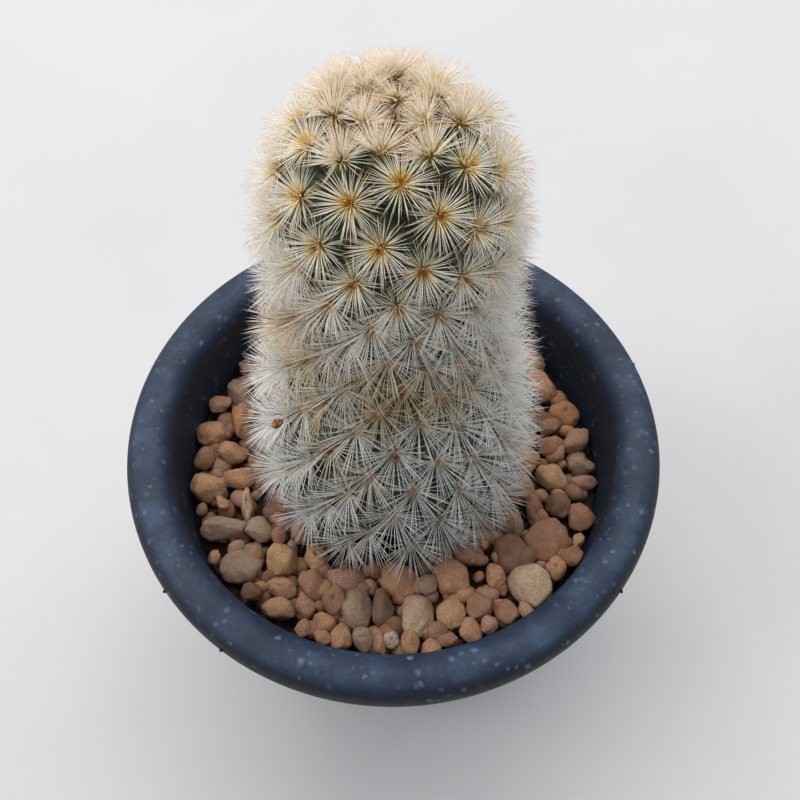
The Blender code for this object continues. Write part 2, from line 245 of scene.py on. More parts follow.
def grow(name, mesh, tree, settings):
    # Runs a geometry tree on a mesh, and keeps the result as a plain mesh
    piece = link(name, mesh)
    modifier = piece.modifiers.new("grow", "NODES")
    modifier.node_group = tree
    for item in tree.interface.items_tree:
        if item.in_out == "INPUT" and item.name in settings:
            modifier[item.identifier] = settings[item.name]
    piece.data = applied(piece, modifier)
    piece.data.name = name
    bpy.data.meshes.remove(mesh)
    return piece


def rgb(red, green, blue):
    # Screen colours, 0 to 255, as the linear values that a shader takes
    shares = [channel / 255 for channel in (red, green, blue)]
    return tuple(s / 12.92 if s <= 0.04045 else ((s + 0.055) / 1.055) ** 2.4 for s in shares) + (1.0,)


def newMaterial(name, roughness=0.6, specular=0.5):
    material = bpy.data.materials.new(name)
    material.use_nodes = True
    tree = material.node_tree
    shader = tree.nodes["Principled BSDF"]
    shader.inputs["Roughness"].default_value = roughness
    shader.inputs["Specular IOR Level"].default_value = specular
    return material, tree, shader


def attribute(tree, name, output="Fac"):
    node = add(tree, "ShaderNodeAttribute", attribute_name=name, attribute_type="GEOMETRY")
    return node.outputs[output]


def objectPlace(tree):
    return add(tree, "ShaderNodeTexCoord").outputs["Object"]


def ramp(value, stops):
    node = feed("ShaderNodeValToRGB", {"Fac": value})
    ends = node.color_ramp.elements
    while len(ends) < len(stops):
        ends.new(0.5)
    for element, (place, *colour) in zip(ends, stops):
        element.position = place
        element.color = rgb(*colour)
    return node.outputs["Color"]


def blend(share, first, second, how="MIX"):
    feeds = {0: share, 6: first, 7: second}
    return feed("ShaderNodeMix", feeds, data_type="RGBA", blend_type=how).outputs[2]


def cloud(tree, scale, detail=3.0, rough=0.5):
    feeds = {"Vector": objectPlace(tree), "Scale": scale, "Detail": detail, "Roughness": rough}
    return feed("ShaderNodeTexNoise", feeds).outputs["Fac"]


def bump(shader, height, distance, strength=0.6):
    feeds = {"Height": height, "Distance": distance, "Strength": strength}
    normal = feed("ShaderNodeBump", feeds).outputs["Normal"]
    shader.id_data.links.new(normal, shader.inputs["Normal"])


def paint(shader, colour):
    shader.id_data.links.new(colour, shader.inputs["Base Color"])


# Pot

pot = {
    "lipThickness": 7.5 * mm,
    "wallThickness": 1.8 * mm,
    "wallTopRadius": 39.6 * mm,
    "baseRadius": 28.2 * mm,
    "footWidth": 4.2 * mm,
    "footHeight": 1.6 * mm,
    "floorThickness": 2.0 * mm,
    "ease": 0.6 * mm,
    "drainRadius": 4.5 * mm,
    "smallDrains": 4,
    "smallDrainRadius": 2.5 * mm,
    "smallDrainRing": 15 * mm,
    "smallDrainSides": 48,
    "drainCutDepth": 8 * mm,
    # radius of the corner between floor and wall, in eases
    "corner": 2.4,
    # how far round the lip's section goes, in degrees, and how much squarer than a circle it is
    "lipTurn": 247.5,
    "lipSquareness": 0.035,
    "sides": 240,
    "cornerSteps": 6,
    "wallSteps": 8,
    "lipSteps": 26,
    "sharpFrom": 50,
    # below the rim: where the paler top of the lip, painted light, starts and is full, the plastic under it
    # painted darker as shade; inside the lip's edge: the outer side, painted dark as shade
    "paintedLitTop": (4 * mm, 0.8 * mm),
    "paintedShadeSide": (2 * mm, 0.6 * mm),
    # scale, widest fleck, share of places without one, and strength of each set of flecks
    "flecks": ((300.0, 0.28, 0.5, 0.75), (620.0, 0.42, 0.2, 0.5)),
    "raggedness": 1.2 * mm,
}


def outerWall(height):
    lipBottom = rimTop - pot["lipThickness"]
    share = (height - pot["ease"]) / (lipBottom - pot["ease"])
    return pot["baseRadius"] + (pot["wallTopRadius"] - pot["baseRadius"]) * share


def innerWall(height):
    return outerWall(height) - pot["wallThickness"]


def potProfile():
    # (radius, height) from the drain hole up the inside, over the lip, and down to the foot
    ease = pot["ease"]
    floorTop = pot["footHeight"] + pot["floorThickness"]
    lip = pot["lipThickness"] / 2
    lipBottom = rimTop - pot["lipThickness"]
    foot = pot["baseRadius"] - pot["footWidth"]
    corner, wallSteps = pot["corner"] * ease, pot["wallSteps"]
    points = [(pot["drainRadius"], floorTop), (innerWall(floorTop) - 3 * ease, floorTop)]
    for step in range(1, pot["cornerSteps"] + 1):
        turn = math.pi / 2 * step / pot["cornerSteps"]
        inset = corner * (1 - math.sin(turn))
        rise = corner * (1 - math.cos(turn))
        points.append((innerWall(floorTop + rise) - inset, floorTop + rise))
    for step in range(1, wallSteps + 1):
        height = floorTop + corner + (lipBottom - 4 * ease - floorTop) * step / wallSteps
        points.append((innerWall(height), height))
    for step in range(pot["lipSteps"] + 1):
        angle = math.radians(180 - pot["lipTurn"] * step / pot["lipSteps"])
        squareness = 1 + pot["lipSquareness"] * math.sin(2 * angle) ** 2
        spot = (math.cos(angle) * squareness, math.sin(angle) * squareness)
        points.append((potHigh.x - lip + lip * min(spot[0], 1), rimTop - lip + lip * min(spot[1], 1)))
    points.append((outerWall(lipBottom) + 1.6 * ease, lipBottom - 0.1 * ease))
    points.append((outerWall(lipBottom) + 0.4 * ease, lipBottom - 0.6 * ease))
    for step in range(wallSteps + 1):
        height = lipBottom - 2 * ease - (lipBottom - 3 * ease) * step / wallSteps
        points.append((outerWall(height), height))
    points += [
        (pot["baseRadius"] - 0.3 * ease, 0.3 * ease),
        (pot["baseRadius"] - ease, 0),
        (foot, 0),
        (foot - 0.3 * ease, 0.3 * ease),
        (foot - pot["footHeight"] / 2, pot["footHeight"]),
        (pot["drainRadius"], pot["footHeight"]),
    ]
    return points


def makePot(material):
    bm = bmesh.new()
    rings = []
    sides = pot["sides"]
    for side in range(sides):
        angle = math.tau * side / sides
        turn = (math.cos(angle), math.sin(angle))
        rings.append([bm.verts.new((r * turn[0], r * turn[1], z)) for r, z in potProfile()])
    for side in range(sides):
        here, there = rings[side], rings[(side + 1) % sides]
        for step in range(len(here)):
            after = (step + 1) % len(here)
            bm.faces.new((here[step], here[after], there[after], there[step]))
    bmesh.ops.recalc_face_normals(bm, faces=bm.faces)
    mesh = meshOf("potFine", bm)
    mesh.materials.append(material)
    piece = link("potFine", mesh)
    cutSmallDrains(piece)
    piece.data.shade_smooth()
    piece.data.set_sharp_from_angle(angle=math.radians(pot["sharpFrom"]))
    finish(piece, "pot_plastic", "pot")


def cutSmallDrains(piece):
    bm = bmesh.new()
    for number in range(pot["smallDrains"]):
        place = spoke(math.tau / pot["smallDrains"] * (number + 0.5)) * pot["smallDrainRing"]
        place.z = pot["footHeight"] + pot["floorThickness"] / 2
        bmesh.ops.create_cone(
            bm,
            cap_ends=True,
            segments=pot["smallDrainSides"],
            radius1=pot["smallDrainRadius"],
            radius2=pot["smallDrainRadius"],
            depth=pot["drainCutDepth"],
            matrix=Matrix.Translation(place),
        )
    cutter = link("drainCutter", meshOf("drainCutter", bm))
    cut = piece.modifiers.new("drains", "BOOLEAN")
    cut.operation = "DIFFERENCE"
    cut.object = cutter
    drained = applied(piece, cut)
    drained.materials.clear()
    drained.materials.append(piece.data.materials[0])
    piece.data = drained
    remove(cutter)


def potPlastic():
    material, tree, shader = newMaterial("potPlastic", 0.6, 0.3)
    place = objectPlace(tree)
    cloudy = cloud(tree, 150, 5, 0.68)
    # Painted light and shade: the lip's top gets paler, cloudy colours as if lit, and the plastic below it a
    # flat darker colour as shade
    paintedLitTop = ramp(cloudy, [(0.32, 27, 38, 56), (0.5, 39, 52, 74), (0.7, 55, 73, 98)])
    paintedLitShare = ranged(split(place)["Z"], *[rimTop - depth for depth in pot["paintedLitTop"]])
    wall = blend(paintedLitShare, rgb(34, 44, 60), paintedLitTop)
    across = vectorMaths("LENGTH", vectorMaths("MULTIPLY", place, (1.0, 1.0, 0.0)))
    # Painted shade: the lip's outer side, which faces down and out, is painted darker still
    outermost = ranged(across, *[potHigh.x - depth for depth in pot["paintedShadeSide"]])
    base = blend(outermost, wall, rgb(15, 23, 38))
    shift = feed("ShaderNodeTexNoise", {"Vector": place, "Scale": 700.0}).outputs["Color"]
    ragged = vectorMaths("ADD", place, scaled(shift, pot["raggedness"]))
    flecks = 0.0
    for scale, widest, bare, strength in pot["flecks"]:
        spots = feed("ShaderNodeTexVoronoi", {"Vector": ragged, "Scale": scale, "Randomness": 1.0})
        own = feed("ShaderNodeSeparateColor", {0: spots.outputs["Color"]}).outputs
        edge = ranged(own[1], 0, 1, 0.3 * widest, widest)
        near = maths("DIVIDE", spots.outputs["Distance"], edge)
        chosen = ranged(own[0], bare, 1.0, 0.0, strength)
        fleck = maths("MULTIPLY", ranged(near, 0.2, 1.0, 1.0, 0.0), chosen)
        flecks = maths("MAXIMUM", flecks, fleck)
    paint(shader, blend(flecks, base, rgb(122, 140, 163)))
    grain = cloud(tree, 1400, 3, 0.6)
    tree.links.new(ranged(grain, 0.3, 0.7, 0.5, 0.66), shader.inputs["Roughness"])
    bump(shader, maths("ADD", grain, cloudy), 0.06 * mm, 0.5)
    return material


# Potting mix: the CAD node keeps its shape

def earth():
    material, tree, shader = newMaterial("earth", 0.95, 0.2)
    feeds = {"Vector": objectPlace(tree), "Scale": 700.0}
    crumbs = feed("ShaderNodeTexVoronoi", feeds).outputs
    shade = feed("ShaderNodeSeparateColor", {0: crumbs["Color"]}).outputs[0]
    paint(shader, ramp(shade, [(0, 24, 17, 14), (0.6, 46, 34, 27), (0.93, 72, 56, 44), (1, 104, 86, 68)]))
    bump(shader, maths("ADD", crumbs["Distance"], cloud(tree, 400)), 0.5 * mm, 0.8)
    return material


# Pebbles

pebble = {
    "longest": 7.6 * mm,
    "shortest": 2.7 * mm,
    "shrink": 0.5,
    "tries": 9000,
    "crowding": 0.4,
    "thickest": 5.2 * mm,
    "bedTop": 51.4 * mm,
    "level": 54 * mm,
    "holeRadius": 20.8 * mm,
    "dip": 2.4 * mm,
    "dipWidth": 5 * mm,
    "kinds": 10,
    # kind: place of a hollow on its top (x, y), half its width, how much longer it is, and its depth
    "hollows": {7: (0.05, 0.1, 0.24, 1.0, 0.22), 3: (0.1, 0.15, 0.13, 3.4, 0.11)},
    "seed": 11,
    # the chosen stones' turns, and where in the pot the others start, as a share of its area
    "turns": (-0.2, 0.2),
    "startFrom": 0.2,
    # in stone lengths: how far it keeps off wall and stem, its width and height, how deep it sits
    "offWall": 0.47,
    "offStem": 0.3,
    "widths": (0.68, 0.92),
    "heights": (0.62, 0.8),
    "sunk": 0.22,
    # how its level strays, in mm, and its tilts
    "uneven": (-0.5, 0.5),
    "tilts": (-0.3, 0.3),
    # the small stones below: how far off the wall, their levels and sizes in mm, and their shapes
    "lowerCount": 380,
    "lowerGap": 2.6 * mm,
    "lowerLevels": (-0.7, 0.9),
    "lowerSizes": (2.4, 4.6),
    "lowerShares": (0.7, 1.0),
    # the bed below all stones
    "bedHole": 17.5 * mm,
    "bedGap": 0.35 * mm,
    "bedDrop": 0.6 * mm,
    "bedTaper": 0.985,
    "bedRoughness": 0.5 * mm,
    "bedCloseness": 500,
}
# A stone of size 1. Each wave is a height and how close its bumps are
stoneForm = {
    "firstSeed": 200,
    "slowWaves": ((0.11, 1.3), (0.04, 3.1)),
    "fineWaves": ((0.007, 9), (0.004, 19)),
    "flats": 6,
    "flatLevels": (0.32, 0.44),
    "flatCut": 0.72,
    "pits": 5,
    "pitWidth": 0.2,
    "pitDepth": 0.03,
}
# The stones that show best: x and y from the pot's axis, size across and size in depth, in mm, and colour
chosenStones = [
    (-32.9, -4.7, 7.7, 5.5, "straw"), (-25.6, -18.6, 7.4, 8.2, "grey"), (-18.9, -18.3, 5.4, 6.2, "straw"),
    (-18.9, -23.2, 6.0, 4.2, "tan"), (-18.9, -27.1, 5.7, 3.8, "tan"), (-13.4, -22.7, 5.0, 5.8, "red"),
    (-7.9, -21.8, 8.3, 5.4, "pink"), (-9.7, -25.3, 4.6, 5.3, "brown"), (-6.2, -26.8, 5.6, 7.2, "grey"),
    (-1.9, -26.8, 3.6, 6.8, "dark"), (3.8, -27.7, 5.9, 8.7, "pale"), (9.6, -27.1, 4.9, 6.8, "straw"),
    (14.3, -26.6, 4.3, 4.6, "brown"), (22.6, -22.7, 8.3, 8.1, "pale"), (26.5, -14.8, 8.5, 8.3, "brown"),
    (28.0, -2.5, 5.6, 4.9, "straw"), (28.8, 3.5, 5.4, 4.6, "red"), (31.5, 10.5, 5.8, 5.1, "orange"),
    (33.5, -3.7, 5.6, 2.9, "pink"), (33.3, -0.2, 5.0, 3.3, "grey"), (-28.1, 8.6, 3.6, 7.4, "orange"),
    (-27.2, -2.5, 6.0, 4.5, "tan"), (-29.0, -12.5, 8.5, 4.4, "grey"), (-5.1, -32.0, 4.2, 4.5, "grey"),
    (-8.6, -32.0, 3.9, 4.9, "tan"), (18.6, -27.3, 4.6, 4.6, "brown"), (28.9, -7.9, 4.8, 4.8, "dark"),
    (-25.6, -7.9, 2.4, 6.8, "pale"), (2.7, -32.8, 3.2, 4.1, "tan"), (-29.2, 2.0, 5.3, 3.7, "tan"),
    (17.1, -21.3, 3.7, 5.0, "tan"), (30.2, -17.7, 4.0, 3.9, "brown"), (-11.3, -29.3, 4.2, 3.6, "tan"),
    (-14.7, -26.4, 3.7, 4.4, "pink"), (-14.6, -30.4, 3.0, 3.2, "tan"), (-11.4, -32.0, 3.2, 2.6, "tan"),
    (-2.1, -32.9, 2.2, 3.8, "tan"), (-0.3, -32.4, 2.8, 2.8, "chalk"), (7.1, -30.8, 3.6, 3.2, "brown"),
    (12.6, -30.5, 3.8, 4.2, "tan"), (15.6, -29.8, 3.2, 3.2, "pink"), (8.9, -32.4, 3.4, 2.6, "brown"),
    (-23.4, -24.2, 3.6, 3.2, "dark"), (-19.8, -14.2, 2.9, 3.8, "red"),
]
stoneColours = {
    "tan": (198, 150, 112), "grey": (170, 148, 128), "straw": (206, 164, 118), "pink": (184, 142, 120),
    "pale": (210, 182, 154), "brown": (158, 114, 88), "red": (170, 118, 92), "orange": (194, 132, 88),
    "dark": (112, 82, 64), "chalk": (208, 188, 172),
}


def waves(start, way, offset, kinds):
    # The start with a noise of each height and closeness on top
    return sum((height * noise.noise(way * closeness + offset) for height, closeness in kinds), start)


def pebbleShape(name, number, fineness):
    # One worn stone: a ball pulled about by slow noise, with a few flats and pits
    rng = np.random.default_rng(stoneForm["firstSeed"] + number)
    bm = bmesh.new()
    bmesh.ops.create_icosphere(bm, subdivisions=fineness, radius=0.5)
    offset = Vector(rng.uniform(-20, 20, 3))
    flats = []
    for _ in range(stoneForm["flats"]):
        flats.append((Vector(rng.normal(size=3)).normalized(), rng.uniform(*stoneForm["flatLevels"])))
    pits = [Vector(rng.normal(size=3)).normalized() for _ in range(stoneForm["pits"])]
    hollow = pebble["hollows"].get(number)
    for vert in bm.verts:
        way = vert.co.normalized()
        size = waves(0.5, way, offset, stoneForm["slowWaves"])
        for flat, level in flats:
            over = size * way.dot(flat) - level
            if over > 0:
                size -= stoneForm["flatCut"] * over
        size += waves(0.0, way, offset, stoneForm["fineWaves"])
        for pit in pits:
            near = (way - pit).length / stoneForm["pitWidth"]
            if near < 1:
                size -= stoneForm["pitDepth"] * (1 - near**2)
        if hollow and way.z > 0:
            x, y, half, longer, deep = hollow
            near = math.hypot((way.x - x) / longer, way.y - y) / half
            size -= deep * max(1 - near**2, 0)
        vert.co = way * size
    return meshOf(name, bm)


def topStones(rng):
    # The chosen stones, then ever smaller ones in the gaps: x, y, size across, size in depth, colour, turn
    outermost = innerWall(pebble["level"])
    stones = []
    for x, y, across, deep, colour in chosenStones:
        stones.append((x * mm, y * mm, across * mm, deep * mm, colour, rng.uniform(*pebble["turns"])))
    names = ["tan", "grey", "straw", "pink", "brown", "dark", "tan", "red", "brown"]
    for attempt in range(pebble["tries"]):
        share = attempt / pebble["tries"]
        length = pebble["longest"] + (pebble["shortest"] - pebble["longest"]) * share ** pebble["shrink"]
        radius = outermost * math.sqrt(rng.uniform(pebble["startFrom"], 1))
        angle = rng.uniform(0, math.tau)
        x, y = radius * math.cos(angle), radius * math.sin(angle)
        if radius > outermost - pebble["offWall"] * length:
            continue
        if math.hypot(x, y - stem["axisY"]) < pebble["holeRadius"] + pebble["offStem"] * length:
            continue
        crowd = pebble["crowding"]
        if all(math.hypot(x - s[0], y - s[1]) > crowd * (length + max(s[2], s[3])) for s in stones):
            colour = names[rng.integers(len(names))]
            width = length * rng.uniform(*pebble["widths"])
            stones.append((x, y, length, width, colour, rng.uniform(0, math.pi)))
    return stones


def layStones(name, fineness, stones, material):
    # stones: place, size, turn and colour of each
    mesh = meshFrom(name, [s[0] for s in stones], [])
    storeVector(mesh, "stoneSize", [s[1] for s in stones])
    storeVector(mesh, "stoneTurn", [s[2] for s in stones])
    storeVector(mesh, "stoneColour", [rgb(*stoneColours[s[3]])[:3] for s in stones])
    storeFloat(mesh, "stoneKind", [number % pebble["kinds"] for number in range(len(stones))])
    shapes = bpy.data.collections.new(name + "Shapes")
    for number in range(pebble["kinds"]):
        shape = pebbleShape(f"{name}Shape{number}", number, fineness)
        shapes.objects.link(bpy.data.objects.new(shape.name, shape))
    settings = {"Stones": shapes, "Material": material}
    tree, given = newTree(name + "Laying", settings)
    feeds = {"Collection": given["Stones"], "Separate Children": True, "Reset Children": True}
    kinds = feed("GeometryNodeCollectionInfo", feeds).outputs[0]
    laid = feed("GeometryNodeInstanceOnPoints", {
        "Points": pointsOf(given["Geometry"]),
        "Instance": kinds,
        "Pick Instance": True,
        "Instance Index": feed("FunctionNodeFloatToInt", {0: named(tree, "stoneKind")}).outputs[0],
        "Rotation": feed("FunctionNodeEulerToRotation", {0: namedVector(tree, "stoneTurn")}).outputs[0],
        "Scale": namedVector(tree, "stoneSize"),
    })
    endTree(laid.outputs[0], given["Material"])
    piece = grow(name, mesh, tree, settings)
    for shape in list(shapes.objects):
        remove(shape)
    bpy.data.collections.remove(shapes)
    finish(piece, "pebbles", "grit")


def makePebbles(material):
    rng = np.random.default_rng(pebble["seed"])
    top = []
    for x, y, across, deep, colour, turn in topStones(rng):
        length = max(across, deep)
        height = min(length * rng.uniform(*pebble["heights"]), pebble["thickest"])
        level = pebble["level"] - pebble["sunk"] * length + rng.uniform(*pebble["uneven"]) * mm
        free = math.hypot(x, y - stem["axisY"]) - pebble["holeRadius"]
        level -= pebble["dip"] * max(1 - free / pebble["dipWidth"], 0)
        tilt = (rng.uniform(*pebble["tilts"]), rng.uniform(*pebble["tilts"]), turn)
        top.append(((x, y, level), (across, deep, height), tilt, colour))
    layStones("pebbles", 4, top, material)
    lower = []
    names = ["tan", "brown", "dark", "pink"]
    outermost = innerWall(pebble["bedTop"]) - pebble["lowerGap"]
    for _ in range(pebble["lowerCount"]):
        radius = math.sqrt(rng.uniform((pebble["holeRadius"] - 1 * mm) ** 2, outermost ** 2))
        angle = rng.uniform(0, math.tau)
        level = pebble["bedTop"] + rng.uniform(*pebble["lowerLevels"]) * mm
        size = rng.uniform(*pebble["lowerSizes"]) * mm * rng.uniform(*pebble["lowerShares"], 3)
        turn = rng.uniform(0, math.pi, 3)
        place = (radius * math.cos(angle), radius * math.sin(angle), level)
        lower.append((place, size, turn, names[rng.integers(len(names))]))
    layStones("lowerPebbles", 2, lower, material)


def pumice():
    material, tree, shader = newMaterial("pumice", 0.9, 0.25)
    own = attribute(tree, "stoneColour", "Color")
    cloudy = cloud(tree, 420, 4, 0.6)
    cooler = blend(ranged(cloudy, 0.35, 0.7, 0.0, 0.4), own, rgb(180, 152, 130))
    rust = cloud(tree, 260, 3, 0.5)
    warmer = blend(ranged(rust, 0.55, 0.75, 0.0, 0.5), cooler, rgb(140, 92, 62))
    grain = cloud(tree, 2600, 3, 0.7)
    paint(shader, blend(ranged(grain, 0.35, 0.68, 0.6, 0.08), warmer, rgb(104, 78, 64)))
    bump(shader, maths("ADD", grain, cloudy), 0.12 * mm, 0.6)
    return material


def makeBed(material):
    # What shows in the gaps between the pebbles: a crumbly dark layer
    steps, sides = 10, 120
    points, faces = [], ringFaces(steps + 1, sides)
    for step in range(steps + 1):
        for side in range(sides):
            out = spoke(math.tau * side / sides)
            inner = out * pebble["bedHole"] + Vector((0, stem["axisY"], 0))
            outer = out * (innerWall(pebble["bedTop"]) - pebble["bedGap"])
            spot = inner.lerp(outer, step / steps)
            rough = 0
            if 0 < step < steps:
                rough = noise.noise(spot * pebble["bedCloseness"]) * pebble["bedRoughness"]
            points.append((spot.x, spot.y, pebble["bedTop"] - pebble["bedDrop"] + rough))
    low = len(points)
    for step in (0, steps):
        for side in range(sides):
            x, y, _ = points[step * sides + side]
            shrink = pebble["bedTaper"] if step else 1
            points.append((x * shrink, y * shrink, gritLow.z + 0.1 * mm))
    top = steps * sides
    for side in range(sides):
        after = (side + 1) % sides
        faces.append((side, after, low + after, low + side))
        faces.append((top + after, top + side, low + sides + side, low + sides + after))
        faces.append((low + side, low + after, low + sides + after, low + sides + side))
    piece = link("gritBed", meshFrom("gritBed", points, faces))
    piece.data.materials.append(material)
    finish(piece, "pebbles")


# Stem

stem = {
    "axisY": 2.2 * mm,
    "domeTop": rimTop + 67.8 * mm,
    "domeBase": rimTop + 48.8 * mm,
    "domeBluntness": 2.4,
    "columnRadius": 14.7 * mm,
    "swellTop": rimTop + 37.6 * mm,
    "swellEnd": rimTop - 4 * mm,
    "footRadius": 20 * mm,
    "neckTop": rimTop - 17 * mm,
    "neckRadius": 15.5 * mm,
    "tubercleHeight": 4.0 * mm,
    "crownTubercleHeight": 1.2 * mm,
    # a tubercle's reach as a share of the spacing, and where they come to full height, in crown reaches
    "tubercleReach": 0.66,
    "fullHeightFrom": 2.5,
    "roundness": 1.5,
    "topHole": 0.15 * mm,
    "fade": 6 * mm,
    "domeSteps": 90,
    "columnSteps": 60,
    "neckSteps": 30,
    "around": 288,
    "along": 300,
}
growth = {
    "goldenAngle": math.radians(137.508),
    "firstAngle": math.radians(7.9),
    "crownCount": 12.6,
    "crownReach": 9.0,
    "counts": (0, 13, 26, 42, 68, 89, 115, 139, 165, 190),
    "millimetres": (9.0, 16.1, 21.5, 27.9, 36.5, 43.4, 53.6, 64.8, 77.1, 92.4),
    "twistCounts": (140, 160),
    "twist": math.radians(4.3),
    "endGap": 4 * mm,
    "leastRadius": 3 * mm,
    "spacings": (4.0 * mm, 8.6 * mm),
}


def stemLine():
    # (radius, height) close together, from the crown down to where the neck is buried
    points = []
    for step in range(stem["domeSteps"] + 1):
        angle = math.pi / 2 * (1 - step / stem["domeSteps"])
        across = max(math.cos(angle), 0) ** (2 / stem["domeBluntness"])
        rise = math.sin(angle) ** (2 / stem["domeBluntness"])
        height = stem["domeBase"] + (stem["domeTop"] - stem["domeBase"]) * rise
        points.append((stem["columnRadius"] * across, height))
    for step in range(stem["columnSteps"] + 1):
        share = step / stem["columnSteps"]
        swell = (stem["footRadius"] - stem["columnRadius"]) * share**2 * (3 - 2 * share)
        height = stem["swellTop"] + (stem["swellEnd"] - stem["swellTop"]) * share
        points.append((stem["columnRadius"] + swell, height))
    for step in range(1, stem["neckSteps"] + 1):
        angle = math.pi / 2 * step / stem["neckSteps"]
        inset = (stem["footRadius"] - stem["neckRadius"]) * (1 - math.cos(angle))
        drop = (stem["swellEnd"] - stem["neckTop"]) * math.sin(angle)
        points.append((stem["footRadius"] - inset, stem["swellEnd"] - drop))
    return np.array(points)


line = stemLine()
lineSteps = np.hypot(*np.diff(line, axis=0).T)
lineDown = np.concatenate(([0], np.cumsum(lineSteps)))


def stemPoint(down, angle):
    radius = np.interp(down, lineDown, line[:, 0])
    height = np.interp(down, lineDown, line[:, 1])
    return np.stack([radius * np.sin(angle), stem["axisY"] - radius * np.cos(angle), height], -1)


def stemNormal(down, angle):
    small = 0.5 * mm
    above = stemPoint(np.maximum(down - small, 0), angle)
    below = stemPoint(np.minimum(down + small, lineDown[-1]), angle)
    sideways = np.stack([np.cos(angle), np.sin(angle), np.zeros_like(angle)], -1)
    normal = np.cross(below - above, sideways)
    return normal / np.linalg.norm(normal, axis=-1, keepdims=True), sideways


def areoles():
    # Every areole's count, distance down the stem and angle
    counts = np.arange(-int(growth["crownCount"]), growth["counts"][-1] + 1)
    crownCount = growth["crownCount"]
    young = growth["crownReach"] * np.sqrt(np.maximum(counts + crownCount, 0) / crownCount)
    grown = np.interp(counts, growth["counts"], growth["millimetres"])
    down = np.where(counts < 0, young, grown) * mm
    keep = down < lineDown[-1] - growth["endGap"]
    twist = growth["twist"] * np.interp(counts, growth["twistCounts"], (0, 1))
    angle = growth["firstAngle"] + growth["goldenAngle"] * counts + twist
    return counts[keep], down[keep], angle[keep]


def spacing(down):
    # The distance between neighbouring areoles, from how fast the count grows
    steps = np.diff(growth["millimetres"]) / np.diff(growth["counts"])
    step = np.interp(down / mm, growth["millimetres"][1:], steps)
    radius = np.interp(down, lineDown, line[:, 0])
    area = math.tau * np.maximum(radius, growth["leastRadius"]) * step * mm
    return np.clip(np.sqrt(area), *growth["spacings"])


def makeStem(material):
    around, along = stem["around"], stem["along"]
    downs = np.linspace(stem["topHole"], lineDown[-1], along)
    down = np.repeat(downs, around)
    angle = np.tile(np.arange(around) * 2 * math.pi / around, along)
    points = stemPoint(down, angle)
    normals, _ = stemNormal(down, angle)
    faces = ringFaces(along, around)
    faces.append(tuple(range(around)))
    faces.append(tuple(reversed(range((along - 1) * around, along * around))))
    mesh = meshFrom("stem", points, faces)
    storeVector(mesh, "outward", normals)
    storeFloat(mesh, "reach", spacing(down) * stem["tubercleReach"])
    share = np.clip(down / (stem["fullHeightFrom"] * growth["crownReach"] * mm), 0, 1)
    height = stem["crownTubercleHeight"] + (stem["tubercleHeight"] - stem["crownTubercleHeight"]) * share
    fade = np.clip((lineDown[-1] - down) / stem["fade"], 0, 1)
    storeFloat(mesh, "depth", height * fade)
    _, tipDown, tipAngle = areoles()
    tips = link("tips", meshFrom("tips", stemPoint(tipDown, tipAngle), []))
    settings = {"Tips": tips, "Roundness": stem["roundness"], "Material": material}
    tree, given = newTree("tubercleRelief", settings)
    position = add(tree, "GeometryNodeInputPosition").outputs[0]
    spots = feed("GeometryNodeObjectInfo", {"Object": given["Tips"]}).outputs["Geometry"]
    nearest = feed("GeometryNodeSampleNearest", {"Geometry": spots}, domain="POINT")
    feeds = {"Geometry": spots, "Value": position, "Index": nearest.outputs[0]}
    tip = feed("GeometryNodeSampleIndex", feeds, data_type="FLOAT_VECTOR", domain="POINT")
    away = vectorMaths("LENGTH", vectorMaths("SUBTRACT", position, tip.outputs[0]))
    share = maths("MINIMUM", maths("DIVIDE", away, named(tree, "reach")), 1.0)
    fallen = maths("POWER", share, given["Roundness"])
    # The valley share is kept for the skin, which paints shade into the valleys with it
    kept = stored(given["Geometry"], "valley", fallen, "POINT")
    drop = maths("MULTIPLY", maths("MULTIPLY", fallen, named(tree, "depth")), -1.0)
    offset = scaled(namedVector(tree, "outward"), drop)
    moved = feed("GeometryNodeSetPosition", {"Geometry": kept, "Offset": offset})
    endTree(moved.outputs[0], given["Material"])
    piece = grow("stem", mesh, tree, settings)
    remove(tips)
    piece.data.shade_smooth()
    finish(piece, "cactus", "cactus")


def stemSkin():
    material, tree, shader = newMaterial("stemSkin", 0.5, 0.4)
    valley = attribute(tree, "valley")
    age = ranged(split(objectPlace(tree))["Z"], gritHigh.z, stem["domeTop"], 1.0, 0.0)
    # Painted shade: both ramps run from pale green on the tubercles' tips to near black in the valleys
    # between them
    young = ramp(valley, [(0, 92, 110, 58), (0.25, 42, 66, 36), (0.6, 24, 44, 29), (1, 11, 20, 15)])
    old = ramp(valley, [(0, 80, 88, 66), (0.25, 42, 60, 47), (0.6, 26, 42, 35), (1, 12, 19, 16)])
    mottling = ranged(cloud(tree, 900, 3, 0.6), 0.4, 0.75, 0, 0.35)
    paint(shader, blend(mottling, blend(age, young, old), rgb(74, 102, 68)))
    bump(shader, cloud(tree, 2200, 3, 0.6), 0.08 * mm, 0.4)
    return material


# Areoles and spines

